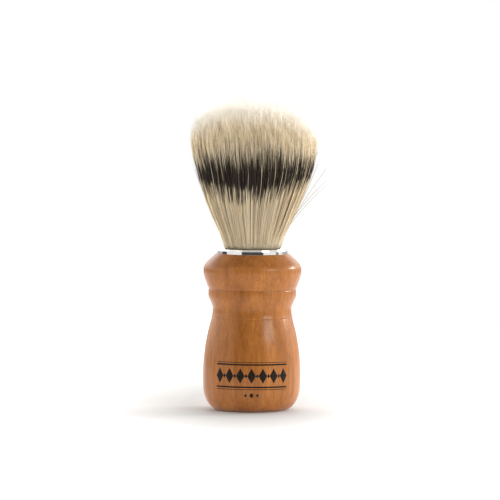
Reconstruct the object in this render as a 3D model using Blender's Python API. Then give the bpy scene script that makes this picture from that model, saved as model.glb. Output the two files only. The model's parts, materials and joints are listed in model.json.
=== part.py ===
"""A barber's shaving brush: a turned beech handle, a chromed ferrule ring and a boar-bristle knot.

The brush stands on its foot at z = 0, with the handle's turning axis on Z. The knot is a bundle of
bristles, bound with thread, cast into a resin plug and glued into the handle's blind socket. Outside the
ring its outer bristles are grouped in locks, side by side around a fixed core. Each lock bends outward
over the ring's rim when the brush is pressed and splayed, so its origin is on that bending axis.
"""

import math

import bmesh
import bpy
import numpy as np

MM = 0.001
GAP = 0.3 * MM  # between neighbouring pieces
TURNED_STEPS = 48

# Handle, with the (radius, height) stations of its curves
HANDLE_HEIGHT = 54.6 * MM
FOOT_RADIUS = 11.6 * MM
FOOT_ROUNDING = (5.4 * MM, 8.5 * MM)
BELLY = [(17.1 * MM, 12.0 * MM), (16.66 * MM, 19.6 * MM), (16.02 * MM, 24.0 * MM)]
BELLY_TOP = [(15.2 * MM, 28.0 * MM), (14.12 * MM, 32.0 * MM)]
BELLY_LINE = (14.08 * MM, 32.3 * MM)
WAIST = [(13.86 * MM, 33.4 * MM), (13.72 * MM, 34.6 * MM), (13.78 * MM, 35.9 * MM), (14.2 * MM, 37.1 * MM)]
BEAD = [(14.8 * MM, 38.5 * MM), (15.25 * MM, 39.7 * MM), (15.3 * MM, 40.5 * MM)]
BEAD_LINE = (15.3 * MM, 42.2 * MM)
SHOULDER_RISE = [(16.1 * MM, 44.6 * MM), (17.0 * MM, 47.6 * MM), (17.1 * MM, 48.8 * MM)]
SHOULDER_TURN = [(16.97 * MM, 49.9 * MM), (16.5 * MM, 50.85 * MM), (15.8 * MM, 51.7 * MM)]
RIM_RADIUS = 12.65 * MM  # of the handle's top face
LINE_DEPTH = 0.15 * MM  # of the fine turned lines
SOCKET_RADIUS = 10.9 * MM
SOCKET_DEPTH = 20.6 * MM
DRILL_POINT_RADIUS = 3.0 * MM
DRILL_POINT_DEPTH = 1.2 * MM

# Ferrule ring
RING_RADIUS = 12.2 * MM
RING_BORE_RADIUS = 10.2 * MM
RING_WALL = 0.4 * MM
RING_BAND_HEIGHT = 0.8 * MM
RING_HEIGHT = 1.9 * MM  # above the handle
LIP_OUTER_RADIUS = 11.7 * MM
LIP_ROUNDING = 0.4 * MM
RING_SKIRT_DEPTH = 6.0 * MM  # into the socket

# Knot, inside the socket
GLUE_THICKNESS = 0.5 * MM
GLUE_HEIGHT = 10.0 * MM
PLUG_WALL = 0.9 * MM
PLUG_FLOOR = 1.2 * MM
PLUG_HEIGHT = 9.0 * MM
THREAD_RADIUS = 0.4 * MM
THREAD_PITCH = 0.95 * MM
THREAD_TURNS = 4
THREAD_POINTS = 16  # in one turn
BINDING_DEPTH = 0.2 * MM  # how far the thread draws the roots in

# Knot, outside the ring
LOCK_COUNT = 16
LOCK_STEPS = 3  # flats across one lock
EXIT_RADIUS = 9.9 * MM
BLOOM_RADIUS = 21.8 * MM
BLOOM_HEIGHT = 93.0 * MM
TIP_HEIGHT = 107.0 * MM
FLARE_POWER = 1.33  # how early the knot opens above the ring
FLARE_STEPS = 5
CORE_SHARE = 0.46  # of the knot's radius, at every height

SOCKET_FLOOR = HANDLE_HEIGHT - SOCKET_DEPTH
RING_FOOT = HANDLE_HEIGHT + GAP
RING_TOP = HANDLE_HEIGHT + RING_HEIGHT + GAP / 2
LOCK_FOOT = RING_TOP + GAP
CORE_EXIT_RADIUS = CORE_SHARE * EXIT_RADIUS
CORE_BLOOM_RADIUS = CORE_SHARE * BLOOM_RADIUS


def clear_scene():
    for obj in list(bpy.data.objects):
        bpy.data.objects.remove(obj, do_unlink=True)


def material(name, colour, roughness, metallic=0.0):
    made = bpy.data.materials.new(name)
    made.use_nodes = True
    shader = made.node_tree.nodes["Principled BSDF"]
    shader.inputs["Base Color"].default_value = (*colour, 1.0)
    shader.inputs["Roughness"].default_value = roughness
    shader.inputs["Metallic"].default_value = metallic
    made.diffuse_color = (*colour, 1.0)
    return made


def add_object(name, mesh, look):
    mesh.materials.append(look)
    obj = bpy.data.objects.new(name, mesh)
    bpy.context.scene.collection.objects.link(obj)
    return obj


def finished_mesh(name, shape):
    """The bmesh as a mesh with outward faces, smooth apart from its sharp edges."""
    bmesh.ops.recalc_face_normals(shape, faces=shape.faces)
    mesh = bpy.data.meshes.new(name)
    shape.to_mesh(mesh)
    shape.free()
    mesh.shade_smooth()
    mesh.set_sharp_from_angle(angle=math.radians(35))
    return mesh


def turned(name, outline, look, steps=TURNED_STEPS):
    """A piece turned round Z from (radius, height) points that close on themselves, or end on the axis."""
    shape = bmesh.new()
    points = [shape.verts.new((radius, 0, height)) for radius, height in outline]
    ends_on_axis = outline[0][0] == 0
    followers = points[1:] if ends_on_axis else points[1:] + points[:1]
    edges = [shape.edges.new(pair) for pair in zip(points, followers)]
    bmesh.ops.spin(
        shape, geom=points + edges, axis=(0, 0, 1), cent=(0, 0, 0), angle=math.tau, steps=steps, use_merge=True
    )
    bmesh.ops.remove_doubles(shape, verts=shape.verts, dist=1e-7)
    return add_object(name, finished_mesh(name, shape), look)


def arc(centre, radii, start, end, steps):
    """Points of an elliptical arc about a centre, from one angle to the other in degrees."""
    angles = [math.radians(start + (end - start) * i / steps) for i in range(steps + 1)]
    return [(centre[0] + radii[0] * math.cos(a), centre[1] + radii[1] * math.sin(a)) for a in angles]


def smooth(stations, steps):
    """Points of a smooth curve through the stations."""
    knots = np.array(stations)
    chords = np.hypot(*np.diff(knots, axis=0).T)
    slopes = np.gradient(knots, np.concatenate([[0], np.cumsum(chords)]), axis=0)
    points = [stations[0]]
    for a, b, c, d, chord in zip(knots, knots[1:], slopes, slopes[1:], chords):
        for t in np.arange(1, steps + 1) / steps:
            ease = t * t * (3 - 2 * t)
            points.append(tuple(a + (b - a) * ease + chord * t * (1 - t) * (c * (1 - t) - d * t)))
    return points


def turned_line(radius, height):
    """A fine V cut into the turned surface, from the bottom up."""
    return [(radius, height - LINE_DEPTH), (radius - LINE_DEPTH, height), (radius, height + LINE_DEPTH)]


def handle_outline():
    """From the middle of the foot, up the outside, and down the socket to the drill point."""
    foot = arc((FOOT_RADIUS, FOOT_ROUNDING[1]), FOOT_ROUNDING, -90, 0, 6)
    belly = smooth([foot[-1], *BELLY, *BELLY_TOP], 2)
    belly_line = turned_line(*BELLY_LINE)
    waist_and_bead = smooth([*WAIST, *BEAD], 2)
    bead_line = turned_line(*BEAD_LINE)
    shoulder = smooth([bead_line[-1], *SHOULDER_RISE, *SHOULDER_TURN, (RIM_RADIUS, HANDLE_HEIGHT)], 2)
    socket = [
        (SOCKET_RADIUS, HANDLE_HEIGHT),
        (SOCKET_RADIUS, SOCKET_FLOOR),
        (DRILL_POINT_RADIUS, SOCKET_FLOOR),
        (0, SOCKET_FLOOR - DRILL_POINT_DEPTH),
    ]
    return [(0, 0), *foot, *belly[1:], *belly_line, *waist_and_bead, *bead_line, *shoulder[1:], *socket]


def ring_outline():
    """The skirt in the socket, the flange on the handle, the band, and the rolled lip inside it."""
    lip_centre = (LIP_OUTER_RADIUS - LIP_ROUNDING, RING_TOP - LIP_ROUNDING)
    skirt_radius = RING_BORE_RADIUS + RING_WALL
    shelf = RING_FOOT + RING_BAND_HEIGHT
    return [
        (RING_BORE_RADIUS, RING_FOOT - RING_SKIRT_DEPTH),
        (skirt_radius, RING_FOOT - RING_SKIRT_DEPTH),
        (skirt_radius, RING_FOOT),
        (RING_RADIUS, RING_FOOT),
        (RING_RADIUS, shelf),
        *arc(lip_centre, (LIP_ROUNDING, LIP_ROUNDING), -30, 120, 6),
        (RING_BORE_RADIUS + 0.3 * MM, RING_TOP - 0.3 * MM),
        (RING_BORE_RADIUS, RING_TOP - 0.7 * MM),
    ]


def cup_outline(outer_radius, wall, floor, foot, height):
    """An open cup, such as a layer cast round what stands in it."""
    inner_radius = outer_radius - wall
    return [
        (0, foot),
        (outer_radius, foot),
        (outer_radius, foot + height),
        (inner_radius, foot + height),
        (inner_radius, foot + floor),
        (0, foot + floor),
    ]


def set_knot():
    """Sizes of the glued and cast layers under the bristles, from the outside in."""
    glue_radius = SOCKET_RADIUS - GAP
    glue_foot = SOCKET_FLOOR + GAP
    plug_radius = glue_radius - GLUE_THICKNESS - GAP
    plug_foot = glue_foot + GLUE_THICKNESS + GAP
    root_radius = plug_radius - PLUG_WALL - GAP
    root_foot = plug_foot + PLUG_FLOOR + GAP
    return glue_radius, glue_foot, plug_radius, plug_foot, root_radius, root_foot


def roots_outline(root_radius, root_foot, thread_foot):
    """The held stretch of the outer bristles: a thick sleeve round the core, drawn in under the thread."""
    thread_top = thread_foot + THREAD_TURNS * THREAD_PITCH
    outside = smooth(
        [
            (root_radius - BINDING_DEPTH, thread_top + GAP),
            (EXIT_RADIUS - 2 * GAP, (thread_top + LOCK_FOOT) / 2),
            (EXIT_RADIUS - 0.1 * MM, LOCK_FOOT - GAP),
        ],
        2,
    )
    inner_radius = CORE_EXIT_RADIUS + GAP
    return [
        (inner_radius, root_foot),
        (root_radius, root_foot),
        (root_radius, thread_foot - 2 * THREAD_RADIUS),
        (root_radius - BINDING_DEPTH, thread_foot - THREAD_RADIUS),
        *outside,
        (inner_radius, LOCK_FOOT - GAP),
    ]


def flare():
    """The knot's outside from the exit up to just below the bloom."""
    climbs = [i / FLARE_STEPS for i in range(FLARE_STEPS)]
    return [
        (
            EXIT_RADIUS + (BLOOM_RADIUS - EXIT_RADIUS) * (1 - (1 - climb) ** FLARE_POWER),
            LOCK_FOOT + (BLOOM_HEIGHT - LOCK_FOOT) * climb,
        )
        for climb in climbs
    ]


def dome(from_radius, to_radius, steps):
    """The knot's domed top between two radii, from the outside in."""
    start, end = (math.degrees(math.acos(radius / BLOOM_RADIUS)) for radius in (from_radius, to_radius))
    return arc((0, BLOOM_HEIGHT), (BLOOM_RADIUS, TIP_HEIGHT - BLOOM_HEIGHT), start, end, steps)


def core_outline(root_foot):
    """The central bristles, whole: from their roots in the resin to the middle of the tip."""
    edge_radius = CORE_BLOOM_RADIUS - GAP
    return [
        (0, root_foot),
        (CORE_EXIT_RADIUS, root_foot),
        (CORE_EXIT_RADIUS, LOCK_FOOT),
        (edge_radius, BLOOM_HEIGHT),
        *dome(edge_radius, 0, 3)[:-1],
        (0, TIP_HEIGHT),
    ]


def lock_mesh():
    """One lock of outer bristles about its bending axis, at its foot's outer edge. The knot's axis is at -X."""
    inside = [(CORE_BLOOM_RADIUS, BLOOM_HEIGHT), (CORE_EXIT_RADIUS + GAP, LOCK_FOOT)]
    outline = [*flare(), *dome(BLOOM_RADIUS, CORE_BLOOM_RADIUS, 4), *inside]
    half_angle = math.pi / LOCK_COUNT
    shape = bmesh.new()
    rows = []
    for radius, height in outline:
        # The flank stays half a gap from the plane between two locks, at any radius.
        reach = half_angle - math.asin(GAP / 2 / radius)
        angles = [reach * (2 * i / LOCK_STEPS - 1) for i in range(LOCK_STEPS + 1)]
        rows.append(
            [
                shape.verts.new((radius * math.cos(a) - EXIT_RADIUS, radius * math.sin(a), height - LOCK_FOOT))
                for a in angles
            ]
        )
    for row, above in zip(rows, rows[1:] + rows[:1]):
        for i in range(LOCK_STEPS):
            shape.faces.new((row[i], row[i + 1], above[i + 1], above[i]))
    shape.faces.new([row[0] for row in rows])
    shape.faces.new([row[-1] for row in reversed(rows)])
    return finished_mesh("bristle_lock", shape)


def add_locks(look):
    mesh = lock_mesh()
    mesh.materials.append(look)
    for number in range(LOCK_COUNT):
        angle = math.tau * (number + 0.5) / LOCK_COUNT
        lock = bpy.data.objects.new(f"bristle_lock_{number + 1:02d}", mesh)
        lock.location = (EXIT_RADIUS * math.cos(angle), EXIT_RADIUS * math.sin(angle), LOCK_FOOT)
        lock.rotation_euler.z = angle
        bpy.context.scene.collection.objects.link(lock)


def add_thread(coil_radius, foot, look):
    """Waxed twine wound round the bundle, just above the resin."""
    curve = bpy.data.curves.new("binding_thread", "CURVE")
    curve.dimensions = "3D"
    curve.bevel_depth = THREAD_RADIUS
    curve.bevel_resolution = 1
    curve.use_fill_caps = True
    spline = curve.splines.new("POLY")
    count = THREAD_TURNS * THREAD_POINTS
    spline.points.add(count)
    for i, point in enumerate(spline.points):
        angle = math.tau * i / THREAD_POINTS
        height = foot + THREAD_PITCH * i / THREAD_POINTS
        point.co = (coil_radius * math.cos(angle), coil_radius * math.sin(angle), height, 1)
    return add_object("binding_thread", curve, look)


def build():
    clear_scene()
    beech = material("lacquered_beech", (0.42, 0.19, 0.07), 0.35)
    chrome = material("polished_chrome", (0.80, 0.81, 0.83), 0.06, metallic=1.0)
    glue = material("epoxy_glue", (0.55, 0.42, 0.20), 0.30)
    resin = material("cast_resin", (0.10, 0.07, 0.05), 0.35)
    twine = material("waxed_twine", (0.62, 0.54, 0.40), 0.80)
    bristle = material("boar_bristle", (0.70, 0.60, 0.44), 0.60)

    glue_radius, glue_foot, plug_radius, plug_foot, root_radius, root_foot = set_knot()
    thread_foot = plug_foot + PLUG_HEIGHT + GAP + THREAD_RADIUS

    turned("handle", handle_outline(), beech)
    turned("ferrule_ring", ring_outline(), chrome)
    glue_layer = cup_outline(glue_radius, GLUE_THICKNESS, GLUE_THICKNESS, glue_foot, GLUE_HEIGHT)
    turned("socket_glue", glue_layer, glue)
    turned("resin_plug", cup_outline(plug_radius, PLUG_WALL, PLUG_FLOOR, plug_foot, PLUG_HEIGHT), resin)
    turned("bristle_roots", roots_outline(root_radius, root_foot, thread_foot), bristle)
    turned("bristle_core", core_outline(root_foot), bristle)
    add_thread(root_radius - BINDING_DEPTH + GAP + THREAD_RADIUS, thread_foot, twine)
    add_locks(bristle)


build()
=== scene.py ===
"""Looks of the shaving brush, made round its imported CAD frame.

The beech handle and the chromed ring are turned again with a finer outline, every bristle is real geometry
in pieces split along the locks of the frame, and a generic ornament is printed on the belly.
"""

import json
import math

import bmesh
import bpy
import numpy as np
from mathutils import Euler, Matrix, Quaternion, Vector, kdtree

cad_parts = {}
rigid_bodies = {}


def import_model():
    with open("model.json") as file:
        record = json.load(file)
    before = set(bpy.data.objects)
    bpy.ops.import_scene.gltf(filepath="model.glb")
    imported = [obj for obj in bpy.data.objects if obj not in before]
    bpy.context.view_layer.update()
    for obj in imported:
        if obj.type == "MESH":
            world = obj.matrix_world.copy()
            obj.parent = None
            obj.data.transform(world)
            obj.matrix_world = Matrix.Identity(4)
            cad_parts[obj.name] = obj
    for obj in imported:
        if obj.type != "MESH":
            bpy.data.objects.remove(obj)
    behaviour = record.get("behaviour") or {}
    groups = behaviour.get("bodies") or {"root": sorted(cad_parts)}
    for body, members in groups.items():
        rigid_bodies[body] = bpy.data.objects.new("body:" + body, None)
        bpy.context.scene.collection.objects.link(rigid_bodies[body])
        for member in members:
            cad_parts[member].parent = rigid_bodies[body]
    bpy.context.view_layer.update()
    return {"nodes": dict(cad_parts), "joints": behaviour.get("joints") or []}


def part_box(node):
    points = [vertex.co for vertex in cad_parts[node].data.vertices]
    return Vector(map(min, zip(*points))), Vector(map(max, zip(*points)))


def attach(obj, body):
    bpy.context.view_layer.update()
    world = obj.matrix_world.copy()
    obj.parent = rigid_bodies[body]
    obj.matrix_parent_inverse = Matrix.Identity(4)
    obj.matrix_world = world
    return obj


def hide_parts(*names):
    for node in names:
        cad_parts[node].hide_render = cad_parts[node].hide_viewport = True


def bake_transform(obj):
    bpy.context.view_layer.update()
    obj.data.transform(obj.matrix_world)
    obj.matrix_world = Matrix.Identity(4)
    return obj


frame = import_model()

MM = 0.001
SEED = 20
BAKE_LAYOUT = "OFBake"  # the UV layer that the textures are laid out on

_, handle_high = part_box("handle")
ring_low, ring_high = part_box("ferrule_ring")
_, core_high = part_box("bristle_core")
lock_low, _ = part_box("bristle_lock_01")

# Heights and radii of the brush, here and below, are in millimetres
HANDLE_TOP = handle_high.z / MM
RING_FOOT = ring_low.z / MM
RING_RADIUS = ring_high.x / MM
TIP_HEIGHT = core_high.z / MM
EXIT_HEIGHT = lock_low.z / MM
LOCK_ANGLES = [math.atan2(joint["pos_m"][1], joint["pos_m"][0]) for joint in frame["joints"]]
LOCK_BODIES = [joint["child"] for joint in frame["joints"]]
EXIT_RADIUS = math.hypot(*frame["joints"][0]["pos_m"][:2]) / MM

TURNED_STEPS = 160

# Handle outline
FOOT_RADIUS = 11.6
FOOT_ROUNDING = (5.4, 8.5)
BELLY_RADIUS = 17.1
WAIST_RADIUS = 13.72
WAIST_HEIGHT = 34.6
BEAD_RADIUS = 15.3
BEAD_LINE_HEIGHT = 42.2
BELLY_LINE_HEIGHT = 32.3
RIM_RADIUS = 12.65
SOCKET_RADIUS = 10.9
SOCKET_DEPTH = 20.6
DRILL_POINT = (3.0, 1.2)  # radius and depth of the hollow in the socket's floor
# Painted shade: the wood is drawn darker in and round the turned lines
BEAD_LINE_SHADE = 0.24  # how dark the wood is in the turned lines
BELLY_LINE_SHADE = 0.12
LINE_SHADE_REACH = 0.45  # and how far above and below a line

# Ring
RING_BORE = 10.2
RING_WALL = 0.4
RING_GAP = 0.04  # between the band's foot and the wood
BAND_HEIGHT = 1.12
LIP_RADIUS = 0.3
LIP_PLACE = (11.4, 0.34)  # its middle's radius, and its height above the band

# Printed border
BORDER_HEIGHT = 12.9
BORDER_HALF_WIDTH = 13.6
BORDER_RULES = ((3.9, 0.5), (4.7, 0.18))  # how far from the middle, and how thick
LOZENGE_STEP = 4.0
LOWER_LOZENGE_HEIGHT = 6.1
PRINT_THICKNESS = 0.08
PRINT_LIFT = 0.045

# Tuft
BLOOM_RADIUS = 21.8
BLOOM_HEIGHT = 93.0
FLARE_POWER = 1.5  # how early the tuft opens above the ring
BRISTLES = 16000
SHOWN_EXIT_RADIUS = EXIT_RADIUS - 0.75
ROOT_SINK = 2.2  # how far the shown hairs start below the exit
CORE_SHARE = 0.46
OUTER_SHARE = 0.72
CLUMPS = 900
STRANDS = 4200
TONES = 48  # kinds of hair, each a column of the bristle texture
UNDYED_TONES = 3  # the first ones, without the dark band
# The brown kinds are partly real dark hairs and partly painted shade, for the dark gaps between the pale
# hairs
BROWN_TONES = 8  # the next ones up to here are brown
STRAND_LIKENESS = 0.42  # how many hairs have the kind of their strand
DOME_TILT = 0.045  # how much lower the tips are at the right edge, as a share of the radius
LEAN = 0.6
TEXTURE_BOTTOM = 50.0  # the heights that the bristle texture spans
TEXTURE_TOP = 110.0
HAIR_RADIUS = 0.075
SHORT_SHARE = 0.14  # how many hairs end below the dome
FAR_UNDYED_SHARE = 0.15  # how many more hairs at the far right have no dark band
CLUMP_BEND = 0.40  # how far clumps, and single hairs, are bent aside at their tips
HAIR_BEND = 0.55
CLUMP_LIFT = 0.5  # how uneven the tips of clumps, and of single hairs, are
TIP_SPREAD = 0.9
STRAND_PULL = (0.48, 0.10)  # how far hairs draw together into strands, midway and towards the tip
CLUMP_PULL = (0.26, 0.08)
SWAY = 0.16
FLAG_LENGTH = (3.5, 8.5)
FLAG_SPREAD = 0.42
STRAYS = 3  # on each lock
STRAY_RADIUS = 0.055
RIGHT_STRAY_RADIUS = 0.11
RIGHT_STRAYS = (  # angle in radians, lowest point, tip, and how far the tip stands out
    (-0.12, 63.0, 79.0, 7.6),
    (-0.05, 64.5, 84.5, 5.6),
    (0.03, 62.0, 88.0, 2.6),
    (0.10, 66.0, 93.0, 1.8),
    (-0.20, 68.0, 90.0, 1.2),
    (0.0, 65.5, 80.5, 7.0),
)

# Colours, linear. A pair is the darkest and the palest
BEECH = (0.324, 0.109, 0.0200), (0.456, 0.168, 0.0365)
BEECH_FLECK = (0.20, 0.075, 0.025)
BEECH_LINE_SHADE = (0.12, 0.045, 0.015)
CHROME = (0.90, 0.89, 0.88), (0.98, 0.97, 0.96)
HAIR_SHAFT = (0.56, 0.415, 0.24), (1.0, 0.89, 0.66)
HAIR_UPPER = (0.80, 0.64, 0.42), (1.0, 0.90, 0.69)
HAIR_BROWN = (0.26, 0.17, 0.10)
HAIR_DYED = (0.012, 0.008, 0.005), (0.050, 0.031, 0.019)
HAIR_TIP = (0.99, 0.96, 0.90)
HAIR_ROOT_LIGHT = (1.0, 0.90, 0.68)
ROOTS = (0.05, 0.035, 0.022), (0.30, 0.21, 0.13)
TWINE = (0.36, 0.28, 0.18), (0.68, 0.58, 0.42)
INK = (0.009, 0.005, 0.003), (0.050, 0.022, 0.010)
GLUE = (0.42, 0.28, 0.10), (0.66, 0.50, 0.26)
RESIN = (0.05, 0.035, 0.025), (0.14, 0.10, 0.07)
FLOOR = (0.60, 0.60, 0.60), (0.615, 0.615, 0.615)
ROOM_TINT = (1.0, 0.985, 0.96, 1)

# Heights where the hair's colour changes. The band's edges differ from one kind of hair to the next
BAND_BOTTOM = (71.9, 78.7)
BAND_TOP = (84.6, 93.6)
UPPER_FADE = (66, 94)
TIP_FADE = (96.5, 107)
# Painted light: the hairs just above the ring are made paler, to lift the shade that the ring and the
# bloom cast on them
ROOT_LIGHT_FADE = (56.5, 60)
BROWNING = 0.65  # how far brown hairs (partly painted shade) and tips take on their colour, and the roots their painted light
TIP_PALENESS = 0.9
ROOT_LIGHTENING = 0.5

# Room. Brightness 1 is paper white
FLOOR_RADIUS = 0.45
FLOOR_BOUNCE = 0.61  # what the floor adds to the light on the brush
BOUNCE_NEAR = 0.15  # and close to it
BOUNCE_FADE = (0.012, 0.028)
SHADOW_FADE = (0.016, 0.055)  # where the floor's visible shadow ends
FLOOR_GLOW = 0.5
WALL_FRONT = 0.56
WALL_BACK = 1.0
WALL_LEFT = 2.8  # how many times brighter the left and right walls are
WALL_RIGHT = 2.25
CEILING_FRONT = 0.12
CEILING_BACK = 1.8
MIRRORED = 0.85  # how much of the room's brightness its reflections have
MIRRORED_BACK = 0.45  # and low down at the back
MIRRORED_CEILING = 0.12  # and over the back
MIRRORED_FRONT = 4.0  # and over the front
DARK_FRONT = (0.60, 0.66)  # where the dark front ends, in radians from the front
DARK_LEFT = (-2.09, -2.06, -1.66, -1.63)  # where the dark gap beside each wall begins and ends
DARK_RIGHT = (1.44, 1.48, 1.66, 1.70)
DARKEST = 0.07  # the brightness that is left there
RIGHT_GAP_DARKNESS = 0.7


# Geometry helpers


def add_object(name, mesh, look, body=None):
    mesh.materials.append(look)
    obj = bpy.data.objects.new(name, mesh)
    bpy.context.scene.collection.objects.link(obj)
    if body:
        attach(obj, body)
    return obj


def arc(centre, radii, start, end, steps):
    """Points of an elliptical arc about a centre, from one angle to the other in degrees."""
    angles = np.radians(np.linspace(start, end, steps + 1))
    return [(centre[0] + radii[0] * math.cos(a), centre[1] + radii[1] * math.sin(a)) for a in angles]


def smooth(stations, steps):
    """Points of a smooth curve through the stations."""
    knots = np.array(stations, float)
    chords = np.hypot(*np.diff(knots, axis=0).T)
    slopes = np.gradient(knots, np.concatenate([[0], np.cumsum(chords)]), axis=0)
    points = [tuple(knots[0])]
    for a, b, c, d, chord in zip(knots, knots[1:], slopes, slopes[1:], chords):
        for t in np.arange(1, steps + 1) / steps:
            step = t * t * (3 - 2 * t)
            points.append(tuple(a + (b - a) * step + chord * t * (1 - t) * (c * (1 - t) - d * t)))
    return points


def groove(radius, height, width, depth):
    """A round-bottomed turned line, from the bottom up."""
    points = []
    for t in np.linspace(-1, 1, 9):
        points.append((radius - depth * math.cos(t * math.pi / 2) ** 2, height + width / 2 * t))
    return points


def turned(name, outline, steps=TURNED_STEPS):
    """A mesh turned round Z from (radius, height) points, laid out for baking with the turn across."""
    outline = np.array(outline) * MM
    lengths = np.hypot(*np.diff(outline, axis=0).T)
    along = np.concatenate([[0], np.cumsum(lengths)]) / lengths.sum()
    shape = bmesh.new()
    layout = shape.loops.layers.uv.new(BAKE_LAYOUT)
    angles = math.tau * np.arange(steps) / steps
    rows = [[shape.verts.new((r * math.cos(a), r * math.sin(a), z)) for a in angles] for r, z in outline]
    for j in range(len(rows) - 1):
        for i in range(steps):
            k = (i + 1) % steps
            face = shape.faces.new((rows[j][i], rows[j][k], rows[j + 1][k], rows[j + 1][i]))
            for loop, (across, up) in zip(face.loops, ((i, j), (i + 1, j), (i + 1, j + 1), (i, j + 1))):
                loop[layout].uv = (across / steps, along[up])
    bmesh.ops.remove_doubles(shape, verts=shape.verts, dist=1e-8)
    bmesh.ops.recalc_face_normals(shape, faces=shape.faces)
    mesh = bpy.data.meshes.new(name)
    shape.to_mesh(mesh)
    shape.free()
    mesh.shade_smooth()
    mesh.set_sharp_from_angle(angle=math.radians(50))
    return mesh


# Material helpers


def new_material(name, **values):
    """A Principled material. A value's name is its socket's, with _ for a space."""
    material = bpy.data.materials.new(name)
    material.use_nodes = True
    shader = material.node_tree.nodes["Principled BSDF"]
    for socket, value in values.items():
        shader.inputs[socket.replace("_", " ")].default_value = value
    return material, material.node_tree, shader


def add_node(tree, kind, inputs=(), **settings):
    """Adds a node. Each input is a value, or the socket that it is linked to."""
    node = tree.nodes.new(kind)
    for key, value in settings.items():
        setattr(node, key, value)
    for key, value in dict(inputs).items():
        if isinstance(value, bpy.types.NodeSocket):
            tree.links.new(value, node.inputs[key])
        else:
            node.inputs[key].default_value = value
    return node


def math_node(tree, operation, a, b=0.0):
    return add_node(tree, "ShaderNodeMath", {0: a, 1: b}, operation=operation).outputs[0]


def times(tree, a, b):
    return math_node(tree, "MULTIPLY", a, b)


def map_range(tree, value, low, high, start=0.0, end=1.0, soft=False):
    kind = "SMOOTHSTEP" if soft else "LINEAR"
    inputs = {"Value": value, "From Min": low, "From Max": high, "To Min": start, "To Max": end}
    return add_node(tree, "ShaderNodeMapRange", inputs, interpolation_type=kind).outputs[0]


def mix_colour(tree, factor, a, b, mode="MIX"):
    node = tree.nodes.new("ShaderNodeMix")
    node.data_type = "RGBA"
    node.blend_type = mode
    for index, value in ((0, factor), (6, a), (7, b)):
        if isinstance(value, bpy.types.NodeSocket):
            tree.links.new(value, node.inputs[index])
        else:
            node.inputs[index].default_value = value if index == 0 else (*value, 1.0)
    return node.outputs[2]


def blend(tree, factor, a, b):
    return add_node(tree, "ShaderNodeMix", {0: factor, 2: a, 3: b}).outputs[0]


def object_noise(tree, stretch, detail=2.0, roughness=0.5, distortion=0.0):
    """Noise on the object's own coordinates, with its cells per millimetre along X, Y and Z."""
    place = add_node(tree, "ShaderNodeTexCoord").outputs["Object"]
    scaled = add_node(tree, "ShaderNodeMapping", {"Vector": place, "Scale": [s / MM for s in stretch]})
    inputs = {"Vector": scaled.outputs[0], "Scale": 1.0, "Detail": detail, "Roughness": roughness}
    noise = add_node(tree, "ShaderNodeTexNoise", {**inputs, "Distortion": distortion})
    return noise.outputs["Fac"]


def add_bump(tree, shader, height, strength, distance):
    bump = add_node(tree, "ShaderNodeBump", {"Height": height, "Strength": strength, "Distance": distance})
    tree.links.new(bump.outputs[0], shader.inputs["Normal"])
    return bump


# Materials


def beech():
    """Lacquered beech: soft vertical streaks, growth lines, and short dark ray flecks."""
    material, tree, shader = new_material(
        "lacquered_beech", Coat_Weight=0.37, Coat_Roughness=0.17, Coat_IOR=1.5, Specular_IOR_Level=0.12
    )
    broad = object_noise(tree, (0.16, 0.16, 0.012), detail=3.0)
    streaks = object_noise(tree, (1.1, 1.1, 0.035), detail=3.0, roughness=0.6)
    fibres = object_noise(tree, (5.0, 5.0, 0.16), detail=2.0, roughness=0.6)
    flecks = object_noise(tree, (2.6, 2.6, 0.42), detail=1.0)
    tone = mix_colour(tree, map_range(tree, broad, 0.35, 0.65), *BEECH)
    streak_tone = map_range(tree, streaks, 0.3, 0.7, 0.80, 1.15)
    fibre_tone = map_range(tree, fibres, 0.3, 0.7, 0.92, 1.07)
    strength = times(tree, streak_tone, fibre_tone)
    grain = add_node(tree, "ShaderNodeCombineColor", {0: strength, 1: strength, 2: strength}).outputs[0]
    grained = mix_colour(tree, 1.0, tone, grain, "MULTIPLY")
    fleck = map_range(tree, flecks, 0.60, 0.70, 0.0, 0.5)
    flecked = mix_colour(tree, fleck, grained, BEECH_FLECK)
    # Painted shade: darker wood in and round the turned lines
    line_shade = add_node(tree, "ShaderNodeAttribute", attribute_name="turned_line_shade").outputs["Fac"]
    darkened = mix_colour(tree, line_shade, flecked, BEECH_LINE_SHADE)
    tree.links.new(darkened, shader.inputs["Base Color"])
    tree.links.new(map_range(tree, fibres, 0.3, 0.7, 0.36, 0.52), shader.inputs["Roughness"])
    add_bump(tree, shader, fibres, 0.10, 0.05 * MM)
    return material


def chrome():
    """Mirror-bright, with faint polishing marks round the ring."""
    material, tree, shader = new_material("polished_chrome", Metallic=1.0)
    rub = object_noise(tree, (0.6, 0.6, 9.0), detail=3.0)
    haze = object_noise(tree, (0.25, 0.25, 0.25), detail=2.0)
    colour = mix_colour(tree, haze, *CHROME)
    tree.links.new(colour, shader.inputs["Base Color"])
    tree.links.new(map_range(tree, rub, 0.3, 0.7, 0.02, 0.06), shader.inputs["Roughness"])
    return material


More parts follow.
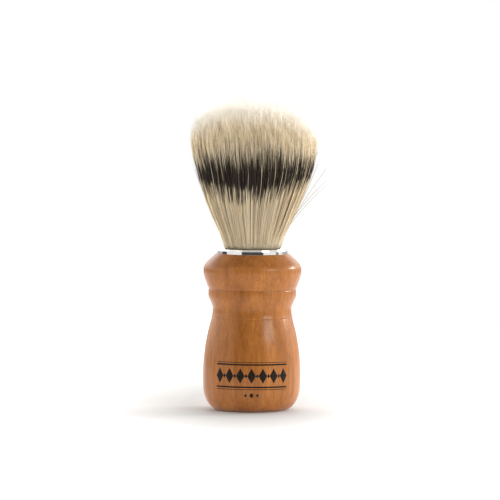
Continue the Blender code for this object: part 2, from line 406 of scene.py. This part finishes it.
def bristle():
    """Boar hair, pale with a ragged dyed band.

    The texture's column picks the kind of hair, and its row is the height.
    """
    material, tree, shader = new_material("boar_bristle", Roughness=0.5, Specular_IOR_Level=0.35)
    place = add_node(tree, "ShaderNodeUVMap", uv_map=BAKE_LAYOUT).outputs[0]
    parts = add_node(tree, "ShaderNodeSeparateXYZ", {0: place}).outputs
    kind = math_node(tree, "FLOOR", times(tree, parts[0], TONES))
    height = map_range(tree, parts[1], 0, 1, TEXTURE_BOTTOM, TEXTURE_TOP)

    def chance(salt):
        """A number between 0 and 1 for each kind of hair."""
        seed = {0: kind, 1: 1.37, 2: salt}
        seed = add_node(tree, "ShaderNodeMath", seed, operation="MULTIPLY_ADD").outputs[0]
        noise = add_node(tree, "ShaderNodeTexWhiteNoise", {"W": seed}, noise_dimensions="1D")
        return noise.outputs["Value"]

    low = map_range(tree, chance(3.1), 0, 1, *BAND_BOTTOM)
    high = map_range(tree, math_node(tree, "POWER", chance(17.7), 1.35), 0, 1, *BAND_TOP)
    highest = map_range(tree, chance(71.3), 0.91, 0.93, 0, 5.0)  # a few kinds are dyed further up
    high = math_node(tree, "ADD", high, highest)
    rise = map_range(tree, math_node(tree, "SUBTRACT", height, low), -1.2, 1.2, soft=True)
    fall = map_range(tree, math_node(tree, "SUBTRACT", height, high), -2.5, 2.5, 1, 0, soft=True)
    dyed = map_range(tree, kind, UNDYED_TONES - 0.6, UNDYED_TONES - 0.4)
    band = times(tree, times(tree, rise, fall), dyed)

    shade = chance(41.9)
    shaft = mix_colour(tree, shade, *HAIR_SHAFT)
    upper = mix_colour(tree, shade, *HAIR_UPPER)
    pale = mix_colour(tree, map_range(tree, height, *UPPER_FADE, soft=True), shaft, upper)
    # Brown hairs: partly real dark hairs, partly painted shade for the gaps between hairs
    brown = map_range(tree, kind, BROWN_TONES - 0.6, BROWN_TONES - 0.4, BROWNING, 0.0)
    pale = mix_colour(tree, times(tree, brown, dyed), pale, HAIR_BROWN)
    tip = map_range(tree, height, *TIP_FADE, 0.0, TIP_PALENESS, soft=True)
    pale = mix_colour(tree, tip, pale, HAIR_TIP)
    dark = mix_colour(tree, chance(53.3), *HAIR_DYED)
    hair = mix_colour(tree, band, pale, dark)
    # Painted light: the hairs low above the ring are paler, to lift their shade
    root = map_range(tree, height, *ROOT_LIGHT_FADE, ROOT_LIGHTENING, 0.0, soft=True)
    hair = mix_colour(tree, root, hair, HAIR_ROOT_LIGHT)
    tree.links.new(hair, shader.inputs["Base Color"])
    return material


def packed_roots():
    """The held stretch of the bristles, seen end-on and edge-on between the hairs."""
    material, tree, shader = new_material("bristle_roots", Roughness=0.6)
    hairs = object_noise(tree, (6.0, 6.0, 0.2), detail=1.0)
    colour = mix_colour(tree, map_range(tree, hairs, 0.35, 0.65), *ROOTS)
    tree.links.new(colour, shader.inputs["Base Color"])
    add_bump(tree, shader, hairs, 0.6, 0.15 * MM)
    return material


def cast(name, colours, roughness):
    """A clear or filled resin with cloudy depth and a few small bubbles."""
    material, tree, shader = new_material(name, Roughness=roughness, Coat_Weight=0.4, Coat_Roughness=0.1)
    cloud = object_noise(tree, (0.3, 0.3, 0.3), detail=3.0)
    bubbles = object_noise(tree, (2.5, 2.5, 2.5), detail=0.0)
    colour = mix_colour(tree, map_range(tree, cloud, 0.35, 0.65), *colours)
    tree.links.new(colour, shader.inputs["Base Color"])
    add_bump(tree, shader, map_range(tree, bubbles, 0.65, 0.75), 0.4, 0.1 * MM)
    return material


def twine():
    """Waxed twine, with the slant of its twisted plies."""
    material, tree, shader = new_material("waxed_twine", Roughness=0.75, Sheen_Weight=0.3)
    plies = object_noise(tree, (2.2, 2.2, 4.5), detail=2.0, distortion=0.4)
    colour = mix_colour(tree, map_range(tree, plies, 0.35, 0.65), *TWINE)
    tree.links.new(colour, shader.inputs["Base Color"])
    add_bump(tree, shader, plies, 0.5, 0.1 * MM)
    return material


def ink():
    """Dark brown print, a little worn and uneven."""
    material, tree, shader = new_material("printed_ink", Roughness=0.55, Specular_IOR_Level=0.15)
    wear = object_noise(tree, (3.0, 3.0, 1.2), detail=3.0, roughness=0.7)
    colour = mix_colour(tree, map_range(tree, wear, 0.5, 0.75), *INK)
    tree.links.new(colour, shader.inputs["Base Color"])
    return material


def floor_paint():
    """White paper. The camera sees it glow away from the brush, where it runs into the white room."""
    material, tree, shader = new_material("studio_floor", Roughness=0.7, Specular_IOR_Level=0.1)
    cloud = object_noise(tree, (0.004, 0.004, 0.004), detail=2.0)
    tree.links.new(mix_colour(tree, cloud, *FLOOR), shader.inputs["Base Color"])

    place = add_node(tree, "ShaderNodeTexCoord").outputs["Object"]
    kind = "ShaderNodeVectorMath"
    # The shadow that stays visible is short to the right and long to the back and front
    drawn_in = {0: place, 1: (1, 0.36, 0), 2: (0.006, -0.0105, 0)}
    drawn_in = add_node(tree, kind, drawn_in, operation="MULTIPLY_ADD").outputs[0]
    away = add_node(tree, kind, {0: drawn_in}, operation="LENGTH").outputs["Value"]
    seen = map_range(tree, away, *SHADOW_FADE, 0.0, FLOOR_GLOW)
    # The brush shades the floor round itself, which then lights the wood less
    from_axis = add_node(tree, kind, {0: place}, operation="LENGTH").outputs["Value"]
    bounce = map_range(tree, from_axis, *BOUNCE_FADE, BOUNCE_NEAR, FLOOR_BOUNCE)
    camera_ray = add_node(tree, "ShaderNodeLightPath").outputs["Is Camera Ray"]
    glow = blend(tree, camera_ray, bounce, seen)
    shader.inputs["Emission Color"].default_value = (1.0, 1.0, 1.0, 1.0)
    tree.links.new(glow, shader.inputs["Emission Strength"])
    return material


# Handle and ring


def handle_outline():
    """The handle's outside, from the middle of the foot up to the rim of its top face."""
    foot = arc((FOOT_RADIUS, FOOT_ROUNDING[1]), FOOT_ROUNDING, -90, 0, 24)
    belly = [(BELLY_RADIUS, 12.0), (16.66, 19.6), (16.02, 24.0), (15.2, 28.0), (14.12, 32.0)]
    belly = smooth([foot[-1], *belly], 10)
    belly_line = groove(14.08, BELLY_LINE_HEIGHT, width=0.4, depth=0.05)
    waist = [(13.86, 33.4), (WAIST_RADIUS, WAIST_HEIGHT), (13.78, 35.9), (14.2, 37.1)]
    waist = smooth([belly_line[-1], *waist], 6)
    bead_foot = [(14.8, 38.5), (15.13, 39.15), (BEAD_RADIUS - 0.05, 39.7), (BEAD_RADIUS, 40.5)]
    bead_foot = smooth([waist[-1], *bead_foot], 5)
    bead_line = groove(BEAD_RADIUS, BEAD_LINE_HEIGHT, width=0.8, depth=0.11)
    side = [(15.62, 43.2), (16.1, 44.6), (16.6, 46.0), (17.0, 47.6), (BELLY_RADIUS, 48.8)]
    turn = [(16.97, 49.9), (16.5, 50.85), (15.8, 51.7), (14.1, 53.35), (RIM_RADIUS, HANDLE_TOP)]
    shoulder = smooth([bead_line[-1], *side, *turn], 7)
    lower = [(0, 0), *foot, *belly[1:], *belly_line, *waist[1:]]
    return [*lower, *bead_foot[1:], *bead_line, *shoulder[1:]]


def handle_radius(height):
    """The handle's outer radius at a height."""
    outline = np.array(handle_outline()[1:])
    return np.interp(height, outline[:, 1], outline[:, 0])


def add_handle(look):
    floor = HANDLE_TOP - SOCKET_DEPTH
    socket = [(SOCKET_RADIUS, HANDLE_TOP), (SOCKET_RADIUS, floor)]
    socket += [(DRILL_POINT[0], floor), (0, floor - DRILL_POINT[1])]
    mesh = turned("beech_handle", [*handle_outline(), *socket])
    heights = np.array([v.co.z for v in mesh.vertices]) / MM
    darkness = np.zeros(len(heights))
    # Painted shade at each turned line, fading above and below it
    lines = ((BEAD_LINE_HEIGHT, BEAD_LINE_SHADE), (BELLY_LINE_HEIGHT, BELLY_LINE_SHADE))
    for line, line_darkness in lines:
        near = np.clip(1 - np.abs(heights - line) / LINE_SHADE_REACH, 0, 1)
        darkness = np.maximum(darkness, line_darkness * near)
    line_shade = mesh.attributes.new("turned_line_shade", "FLOAT", "POINT")
    line_shade.data.foreach_set("value", darkness.astype(np.float32))
    handle = add_object("beech_handle", mesh, look, "handle")
    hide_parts("handle")


def add_ring(look):
    """The ferrule: a skirt in the socket, a flange, a polished band and a rolled lip."""
    skirt = RING_BORE + RING_WALL
    foot = HANDLE_TOP + RING_GAP
    shelf = foot + BAND_HEIGHT
    lip_centre = (LIP_PLACE[0], shelf + LIP_PLACE[1])
    outline = [
        (RING_BORE, RING_FOOT),
        (skirt, RING_FOOT),
        (skirt, foot),
        *arc((RING_RADIUS - 0.06, foot + 0.06), (0.06, 0.06), -90, 0, 4),
        (RING_RADIUS, foot + 0.08),
        (RING_RADIUS, shelf - 0.14),
        *arc((RING_RADIUS - 0.16, shelf - 0.12), (0.16, 0.12), 0, 90, 6),
        (lip_centre[0] + LIP_RADIUS, shelf + 0.01),
        *arc(lip_centre, (LIP_RADIUS, LIP_RADIUS), -60, 95, 14),
        *arc((RING_BORE + 0.45, lip_centre[1] - 0.08), (0.45, LIP_RADIUS), 80, 180, 8),
        (RING_BORE, RING_FOOT),
    ]
    ring = add_object("chrome_ring", turned("chrome_ring", outline), look, "handle")
    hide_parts("ferrule_ring")


# Ornament


def on_belly(points):
    """Lays (arc length, height) points in millimetres on the front of the belly, just above the wood."""
    placed = []
    for along, height in points:
        radius = float(handle_radius(height)) + PRINT_LIFT
        angle = along / BELLY_RADIUS - math.pi / 2
        placed.append(Vector((radius * math.cos(angle), radius * math.sin(angle), height)) * MM)
    return placed


def add_patch(shape, corners, columns, rows):
    """A four-cornered patch of print, divided so that it follows the curve."""
    (a, b, c, d) = (np.array(p, float) for p in corners)
    grid = []
    for t in np.linspace(0, 1, rows + 1):
        left, right = a + (d - a) * t, b + (c - b) * t
        grid.append([tuple(left + (right - left) * s) for s in np.linspace(0, 1, columns + 1)])
    made = [[shape.verts.new(v) for v in on_belly(row)] for row in grid]
    for row, above in zip(made, made[1:]):
        for i in range(columns):
            shape.faces.new((row[i], row[i + 1], above[i + 1], above[i]))


def add_lozenge(shape, along, height, width, tall):
    corners = [(along - width / 2, height), (along, height - tall / 2)]
    corners += [(along + width / 2, height), (along, height + tall / 2)]
    add_patch(shape, corners, 4, 4)


def add_ornament(look):
    """A plain printed border: lozenges between thin rules, and three small lozenges below."""
    shape = bmesh.new()
    left, right = -BORDER_HALF_WIDTH, BORDER_HALF_WIDTH
    for gap, thickness in BORDER_RULES:
        for height in (BORDER_HEIGHT - gap, BORDER_HEIGHT + gap):
            low, high = height - thickness / 2, height + thickness / 2
            add_patch(shape, [(left, low), (right, low), (right, high), (left, high)], 48, 1)
    for step in range(-3, 4):
        add_lozenge(shape, step * LOZENGE_STEP, BORDER_HEIGHT, 3.0, 5.2)
    for step in range(-3, 3):
        add_lozenge(shape, (step + 0.5) * LOZENGE_STEP, BORDER_HEIGHT, 1.0, 1.5)
    add_lozenge(shape, -2.1, LOWER_LOZENGE_HEIGHT, 1.0, 1.2)
    add_lozenge(shape, 0.0, LOWER_LOZENGE_HEIGHT, 1.6, 1.9)
    add_lozenge(shape, 2.1, LOWER_LOZENGE_HEIGHT, 1.0, 1.2)
    mesh = bpy.data.meshes.new("printed_border")
    shape.to_mesh(mesh)
    shape.free()
    mesh.shade_smooth()
    border = add_object("printed_border", mesh, look)
    skin = border.modifiers.new("thickness", "SOLIDIFY")
    skin.thickness = PRINT_THICKNESS * MM
    skin.offset = -1
    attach(border, "handle")


# Bristles


def tuft_radius(heights):
    """Outer radius of the tuft. It opens above the ring and straightens slowly up to the bloom."""
    climb = np.clip((heights - EXIT_HEIGHT) / (BLOOM_HEIGHT - EXIT_HEIGHT), 0, 1)
    return SHOWN_EXIT_RADIUS + (BLOOM_RADIUS - SHOWN_EXIT_RADIUS) * (1 - (1 - climb) ** FLARE_POWER)


def spiral(count, jitter, rng):
    """Points spread evenly over the unit disc, moved about by the jitter."""
    reach = np.sqrt((np.arange(count) + 0.5) / count)
    angle = np.arange(count) * math.pi * (3 - math.sqrt(5))
    points = np.stack([reach * np.cos(angle), reach * np.sin(angle)], axis=1)
    return points + rng.normal(0, jitter / math.sqrt(count), points.shape)


def nearest(points, centres):
    """The index of the nearest centre to each point."""
    tree = kdtree.KDTree(len(centres))
    for index, centre in enumerate(centres):
        tree.insert((*centre, 0), index)
    tree.balance()
    return np.array([tree.find((*point, 0))[1] for point in points])


def grow_bristles(rng):
    """Every bristle's place in the bundle, its clump, bend, tip height and kind."""
    place = spiral(BRISTLES, 0.5, rng)
    reach = np.minimum(np.hypot(*place.T), 1.0)
    clumps = spiral(CLUMPS, 0.6, rng)
    strands = spiral(STRANDS, 0.6, rng)
    clump = nearest(place, clumps)
    strand = nearest(place, strands)
    dome = BLOOM_HEIGHT + (TIP_HEIGHT - BLOOM_HEIGHT) * np.sqrt(1 - reach**2)
    dome -= DOME_TILT * BLOOM_RADIUS * place[:, 0] * reach
    clump_lift = rng.normal(0, CLUMP_LIFT, CLUMPS)[clump]
    short = np.where(rng.random(BRISTLES) < SHORT_SHARE, rng.uniform(0.5, 9.0, BRISTLES), 0)
    clump_bend = rng.normal(0, CLUMP_BEND, (CLUMPS, 2))[clump]
    tone = rng.integers(0, TONES, BRISTLES)
    strand_tone = rng.integers(UNDYED_TONES, TONES, STRANDS)[strand]
    tone = np.where(rng.random(BRISTLES) < STRAND_LIKENESS, strand_tone, tone)
    undyed = rng.random(BRISTLES) < FAR_UNDYED_SHARE * ease(place[:, 0], 0.5, 1.0)
    tone = np.where(undyed, tone % UNDYED_TONES, tone)
    return {
        "place": place,
        "reach": reach,
        "clump": clumps[clump],
        "strand": strands[strand],
        "bend": clump_bend + rng.normal(0, HAIR_BEND, (BRISTLES, 2)),
        "tip": dome + clump_lift + rng.normal(-0.4, TIP_SPREAD, BRISTLES) - short,
        "tone": tone,
        "radius": HAIR_RADIUS * rng.uniform(0.75, 1.25, BRISTLES),
        "turn": rng.uniform(0, math.tau, BRISTLES),
        "phase": rng.uniform(0, math.tau, (BRISTLES, 2)),
    }


def pick(hairs, chosen):
    return {key: values[chosen] for key, values in hairs.items()}


def ease(values, low, high):
    """0 below low, 1 above high, and a smooth step between them."""
    share = np.clip((values - low) / (high - low), 0, 1)
    return share * share * (3 - 2 * share)


def lean(heights):
    """How far the tuft stands to the right of its axis: its middle does, and its top to the left."""
    return LEAN * np.exp(-(((heights - 83) / 7) ** 2)) - LEAN * ease(heights, 95, 102)


def hair_path(hairs, heights):
    """Centre line of each hair at its heights: (hairs, heights, 3)."""
    climb = np.clip((heights - EXIT_HEIGHT) / (TIP_HEIGHT - EXIT_HEIGHT), 0, 1.05)[..., None]
    midway = np.sin(math.pi * np.clip(climb, 0, 1) ** 0.8)
    place = hairs["place"][:, None]
    for group, pull in (("strand", STRAND_PULL), ("clump", CLUMP_PULL)):
        share = pull[0] * midway + pull[1] * climb
        place = place + (hairs[group][:, None] - place) * share
    sway = np.sin(climb * 7.0 + hairs["phase"][:, None]) * SWAY * climb
    flat = place * tuft_radius(heights)[..., None] + hairs["bend"][:, None] * climb**2 + sway
    flat[..., 0] += lean(heights)
    return np.concatenate([flat, heights[..., None]], axis=2)


def beyond(values, start, power):
    return np.maximum(values - start, 0) ** power


def texture_heights(paths):
    """The height that each point of a hair is coloured for.

    It differs from the real one at the sides, where the dyed band narrows and the pale tips begin lower;
    the lower pale tips are partly painted light for the brighter sides of the tuft.
    """
    heights, aside = paths[:, :, 2], paths[:, :, 0]
    rise = 0.24 * beyond(aside, 4, 1.25) + 0.05 * beyond(-aside, 5, 1.6)
    drop = 0.05 * beyond(np.abs(aside), 6, 1.6)
    # Painted light: near the top, the far sides turn pale lower down
    drop += 0.03 * beyond(np.abs(aside), 10, 1.8) * ease(heights, 90, 97)
    return heights - rise * (1 - ease(heights, 76, 90)) + drop * ease(heights, 80, 88)


def tubes(paths, radii, turns, tones):
    """Three-sided closed tubes along the paths: their corners, faces, and bake layout."""
    count, rings, _ = paths.shape
    angles = turns[:, None] + np.array([0, 1, 2]) * math.tau / 3
    spokes = np.stack([np.cos(angles), np.sin(angles), np.zeros_like(angles)], axis=2)
    corners = paths[:, :, None] + spokes[:, None] * radii[:, :, None, None]
    first = np.arange(count)[:, None, None] * rings * 3
    ring, side = np.meshgrid(np.arange(rings - 1), np.arange(3), indexing="ij")
    after = (side + 1) % 3
    here, above = ring * 3, (ring + 1) * 3
    quads = np.stack([here + side, here + after, above + after, above + side], axis=2)
    quads = (first[..., None] + quads[None]).reshape(-1, 4)
    root = (first[:, 0] + np.array([2, 1, 0])).reshape(-1, 3)
    tip = (first[:, 0] + (rings - 1) * 3 + np.array([0, 1, 2])).reshape(-1, 3)
    up = (texture_heights(paths) - TEXTURE_BOTTOM) / (TEXTURE_TOP - TEXTURE_BOTTOM)
    across = (tones[:, None] + 0.15 + 0.7 * np.arange(4) / 3) / TONES
    quad_u = np.stack([across[:, side], across[:, side + 1], across[:, side + 1], across[:, side]], axis=3)
    quad_v = np.stack([up[:, ring], up[:, ring], up[:, ring + 1], up[:, ring + 1]], axis=3)
    quad_uv = np.stack([quad_u, quad_v], axis=4).reshape(-1, 2)
    ends = []
    for end in (up[:, 0], up[:, -1]):
        cap_v = end[:, None] + np.array([0, 0.002, 0])
        ends.append(np.stack([across[:, :3], cap_v], axis=2).reshape(-1, 2))
    return corners.reshape(-1, 3), quads, root, tip, quad_uv, ends


def hair_mesh(name, bundles):
    """One mesh of several bundles of tubes."""
    corners, loops, starts, layout = [], [], [], []
    vertex_count = loop_count = 0
    for bundle in bundles:
        points, quads, root, tip, quad_uv, ends = tubes(*bundle)
        for faces in (quads, root, tip):
            loops.append((faces + vertex_count).reshape(-1))
            starts.append(loop_count + np.arange(len(faces)) * faces.shape[1])
            loop_count += faces.size
        layout += [quad_uv, *ends]
        corners.append(points)
        vertex_count += len(points)
    mesh = bpy.data.meshes.new(name)
    mesh.vertices.add(vertex_count)
    mesh.vertices.foreach_set("co", (np.concatenate(corners) * MM).astype(np.float32).ravel())
    mesh.loops.add(loop_count)
    mesh.loops.foreach_set("vertex_index", np.concatenate(loops).astype(np.int32))
    starts = np.concatenate(starts)
    mesh.polygons.add(len(starts))
    mesh.polygons.foreach_set("loop_start", starts.astype(np.int32))
    mesh.update(calc_edges=True)
    uv = mesh.uv_layers.new(name=BAKE_LAYOUT)
    uv.uv.foreach_set("vector", np.concatenate(layout).astype(np.float32).ravel())
    mesh.validate()
    mesh.shade_smooth()
    return mesh


def shaft_bundle(hairs, rings):
    """Whole hairs, from inside the ring to the tip, thinning towards it."""
    share = np.linspace(0, 1, rings) ** 0.9
    bottom = EXIT_HEIGHT - ROOT_SINK
    heights = bottom + (hairs["tip"][:, None] - bottom) * share
    taper = np.interp(share, [0, 0.6, 0.9, 1], [1.0, 0.95, 0.65, 0.28])
    return hair_path(hairs, heights), hairs["radius"][:, None] * taper, hairs["turn"], hairs["tone"]


def flag_bundle(hairs, rng):
    """The fine split ends of a bristle's tip, which spread from its last few millimetres."""
    count = len(hairs["tip"])
    length = rng.uniform(*FLAG_LENGTH, count)
    share = np.array([0, 0.5, 1.0])
    top = hairs["tip"] + rng.normal(0.1, 0.5, count)
    heights = (top - length)[:, None] + length[:, None] * share
    paths = hair_path(hairs, heights)
    spread = rng.normal(0, FLAG_SPREAD, (count, 1, 2)) * share[:, None] ** 1.4
    paths[:, :, :2] += spread
    radii = hairs["radius"][:, None] * np.array([0.55, 0.42, 0.2])
    return paths, radii, hairs["turn"], hairs["tone"]


def stray_bundle(rng, angles, bottoms, tops, throws, radius, tones=(0, TONES)):
    """Loose hairs that stand out from the side of the tuft, each by its throw at the tip."""
    count = len(angles)
    place = np.stack([np.cos(angles), np.sin(angles)], axis=1) * 0.98
    share = np.linspace(0, 1, 9)
    heights = bottoms[:, None] + (tops - bottoms)[:, None] * share
    reach = tuft_radius(heights) + throws[:, None] * share**1.5
    paths = np.concatenate([place[:, None] * reach[..., None], heights[..., None]], axis=2)
    radii = radius * np.interp(share, [0, 0.6, 1], [1, 0.9, 0.3]) * np.ones((count, 1))
    return paths, radii, rng.uniform(0, math.tau, count), rng.integers(*tones, count)


def lock_strays(rng, angle):
    """A few short strays anywhere on a lock."""
    bottoms = rng.uniform(62, 72, STRAYS)
    tops = bottoms + rng.uniform(14, 24, STRAYS)
    angles = angle + rng.normal(0, 0.1, STRAYS)
    return stray_bundle(rng, angles, bottoms, tops, rng.uniform(0.5, 2.2, STRAYS), STRAY_RADIUS)


def right_strays(rng):
    """The long brown strays at the right of the tuft."""
    angles, bottoms, tops, throws = np.array(RIGHT_STRAYS).T
    brown = (UNDYED_TONES, BROWN_TONES)
    return stray_bundle(rng, angles, bottoms, tops, throws, RIGHT_STRAY_RADIUS, brown)


def add_hair(name, bundles, look, *nodes):
    piece = add_object(name, hair_mesh(name, bundles), look)
    if nodes:
        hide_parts(*nodes)
    return piece


def add_bristles(look):
    """The core stays with the handle, and each lock's hairs make pieces of their own."""
    rng = np.random.default_rng(SEED)
    hairs = grow_bristles(rng)
    core = hairs["reach"] < CORE_SHARE
    centre = pick(hairs, core)
    bundles = [shaft_bundle(centre, 5), flag_bundle(centre, rng)]
    piece = add_hair("core_bristles", bundles, look, "bristle_core")
    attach(piece, "handle")

    angle = np.arctan2(*hairs["place"].T[::-1]) + rng.normal(0, 0.035, BRISTLES)
    turns = (angle[:, None] - np.array(LOCK_ANGLES) + math.pi) % math.tau - math.pi
    lock_of = np.argmin(np.abs(turns), axis=1)
    depth = hairs["reach"] + rng.normal(0, 0.02, BRISTLES)
    for index, body in enumerate(LOCK_BODIES):
        own = ~core & (lock_of == index)
        outer = pick(hairs, own & (depth >= OUTER_SHARE))
        inner = pick(hairs, own & (depth < OUTER_SHARE))
        bundles = [
            shaft_bundle(outer, 8),
            flag_bundle(outer, rng),
            flag_bundle(outer, rng),
            lock_strays(rng, LOCK_ANGLES[index]),
        ]
        if index == 0:
            bundles.append(right_strays(rng))
        front = add_hair(f"outer_bristles_{index + 1:02d}", bundles, look, f"bristle_lock_{index + 1:02d}")
        bundles = [shaft_bundle(inner, 6), flag_bundle(inner, rng)]
        back = add_hair(f"inner_bristles_{index + 1:02d}", bundles, look)
        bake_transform(front)
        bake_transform(back)


# Studio


def add_floor(look):
    """A round floor, small enough that the ring and the wood also reflect the dark in front of it."""
    place = (0, 0, -0.1 * MM)
    shape = {"vertices": 96, "radius": FLOOR_RADIUS, "fill_type": "NGON"}
    bpy.ops.mesh.primitive_circle_add(location=place, **shape)
    floor = bpy.context.object
    floor.name = "studio_floor"
    floor.data.materials.append(look)


def add_area_light(name, azimuth, elevation, distance, size, radiance, colour, only=()):
    """A soft box that faces the brush. Azimuth 0 is in front, and 90 is to the right.

    Its radiance is how bright it looks, whatever its size and distance. With only, it lights nothing else.
    """
    light = bpy.data.lights.new(name, "AREA")
    light.shape = "RECTANGLE"
    light.size, light.size_y = size
    light.energy = radiance * math.pi * size[0] * size[1]
    light.color = colour
    lamp = bpy.data.objects.new(name, light)
    turn, rise = math.radians(azimuth), math.radians(elevation)
    way = Vector((math.sin(turn) * math.cos(rise), -math.cos(turn) * math.cos(rise), math.sin(rise)))
    target = Vector((0, 0, 0.05))
    lamp.location = target + way * distance
    lamp.rotation_euler = (-way).to_track_quat("-Z", "Y").to_euler()
    lamp.visible_camera = False
    bpy.context.scene.collection.objects.link(lamp)
    if only:
        lamp.light_linking.receiver_collection = bpy.data.collections.new(f"lit_by_{name}")
        for obj in only:
            lamp.light_linking.receiver_collection.objects.link(obj)


def room_brightness(tree, x, y, z):
    """The white walls and ceiling for a direction, and how far it is turned from the front."""
    turn = math_node(tree, "ARCTAN2", x, times(tree, y, -1.0))  # positive to the right
    aside = math_node(tree, "ABSOLUTE", turn)
    wall = map_range(tree, aside, 1.4, 2.4, WALL_FRONT, WALL_BACK, soft=True)
    wall = times(tree, wall, map_range(tree, turn, 0.6, 1.2, 1.0, WALL_RIGHT, soft=True))
    wall = times(tree, wall, map_range(tree, turn, -1.2, -0.6, WALL_LEFT, 1.0, soft=True))
    low = blend(tree, map_range(tree, z, -0.02, 0.04), 1.05, wall)
    above = map_range(tree, y, -0.2, 0.6, CEILING_FRONT, CEILING_BACK, soft=True)
    return blend(tree, map_range(tree, z, 0.5, 0.85, soft=True), low, above), turn, aside


def mirrored_share(tree, y, z, aside):
    """How much of the room's brightness a reflection has."""
    behind = times(tree, map_range(tree, aside, 2.00, 2.08), map_range(tree, z, 0.1, 0.25, 1, 0))
    overhead = times(tree, map_range(tree, z, 0.42, 0.58), map_range(tree, y, -0.3, 0.0))
    over_front = times(tree, map_range(tree, z, 0.5, 0.7), map_range(tree, y, -0.5, -0.25, 1, 0))
    share = blend(tree, overhead, blend(tree, behind, MIRRORED, MIRRORED_BACK), MIRRORED_CEILING)
    return blend(tree, over_front, share, MIRRORED_FRONT)


def dark_gap(tree, turn, start, full, fading, end):
    """A dark stretch of the wall, with soft edges."""
    return times(tree, map_range(tree, turn, start, full), map_range(tree, turn, fading, end, 1, 0))


def darkness(tree, z, turn, aside):
    """The dark front of the room, and the dark gap low down beside each wall."""
    ahead = map_range(tree, aside, *DARK_FRONT, 1, 0, soft=True)
    front = times(tree, ahead, map_range(tree, z, 0.45, 0.62, 1, 0, soft=True))
    right_gap = times(tree, dark_gap(tree, turn, *DARK_RIGHT), RIGHT_GAP_DARKNESS)
    gaps = math_node(tree, "MAXIMUM", dark_gap(tree, turn, *DARK_LEFT), right_gap)
    gaps = times(tree, gaps, map_range(tree, z, 0.0, 0.1, 1, 0))
    return math_node(tree, "MAXIMUM", front, gaps)


def set_world():
    """A white room with a bright ceiling and a dark front, which is pure white to the camera."""
    world = bpy.data.worlds.new("studio")
    bpy.context.scene.world = world
    world.use_nodes = True
    tree = world.node_tree
    seen = tree.nodes["Background"]
    seen.inputs["Color"].default_value = (1, 1, 1, 1)
    way = add_node(tree, "ShaderNodeTexCoord").outputs["Generated"]
    x, y, z = add_node(tree, "ShaderNodeSeparateXYZ", {0: way}).outputs
    level, turn, aside = room_brightness(tree, x, y, z)
    paths = add_node(tree, "ShaderNodeLightPath").outputs
    share = blend(tree, paths["Is Glossy Ray"], 1.0, mirrored_share(tree, y, z, aside))
    lit = math_node(tree, "SUBTRACT", 1.0, darkness(tree, z, turn, aside))
    lit = math_node(tree, "MAXIMUM", lit, DARKEST)
    strength = times(tree, times(tree, level, share), lit)
    lighting = {"Color": ROOM_TINT, "Strength": strength}
    lighting = add_node(tree, "ShaderNodeBackground", lighting).outputs[0]
    both = {0: paths["Is Camera Ray"], 1: lighting, 2: seen.outputs[0]}
    both = add_node(tree, "ShaderNodeMixShader", both).outputs[0]
    tree.links.new(both, tree.nodes["World Output"].inputs["Surface"])


def add_camera():
    """A long lens a little above the brush, in front of it."""
    distance = 1.6
    view_width = 0.175
    elevation = math.radians(3.2)
    roll = math.radians(0.45)
    target = Vector((-0.0009, 0, 0.0558))
    camera = bpy.data.objects.new("camera", bpy.data.cameras.new("camera"))
    camera.data.lens = camera.data.sensor_width * distance / view_width
    camera.location = target + distance * Vector((0, -math.cos(elevation), math.sin(elevation)))
    level = Euler((math.pi / 2 - elevation, 0, 0)).to_quaternion()
    camera.rotation_euler = (level @ Quaternion((0, 0, 1), roll)).to_euler()
    bpy.context.scene.collection.objects.link(camera)
    bpy.context.scene.camera = camera


def add_studio():
    add_floor(floor_paint())
    set_world()
    add_area_light("window_box", 47, 20, 1.2, (0.58, 0.24), 8.4, (1.0, 0.98, 0.95))
    add_area_light("right_box", 115, 20, 1.0, (0.35, 0.19), 21.5, (1.0, 0.97, 0.93))
    # Real bristles pass light on inside. These soft lights on them alone stand for that.
    hair = [obj for obj in bpy.data.objects if "bristles" in obj.name]
    add_area_light("hair_box", -10, 50, 1.0, (0.5, 0.5), 4.8, (1.0, 0.96, 0.88), only=hair)
    add_area_light("hair_left", -100, 9, 1.0, (0.5, 0.3), 5.0, (0.95, 0.98, 1.0), only=hair)
    add_area_light("hair_right", 84, 5, 1.0, (0.4, 0.2), 7.0, (0.93, 0.97, 1.0), only=hair)
    add_camera()
    bpy.context.scene.view_settings.view_transform = "Standard"


def paint_inner_nodes():
    looks = {
        "socket_glue": cast("epoxy_glue", GLUE, roughness=0.3),
        "resin_plug": cast("cast_resin", RESIN, roughness=0.35),
        "binding_thread": twine(),
        "bristle_roots": packed_roots(),
    }
    for name, look in looks.items():
        materials = frame["nodes"][name].data.materials
        materials.clear()
        materials.append(look)


def build():
    add_handle(beech())
    add_ring(chrome())
    add_ornament(ink())
    add_bristles(bristle())
    paint_inner_nodes()
    add_studio()


build()
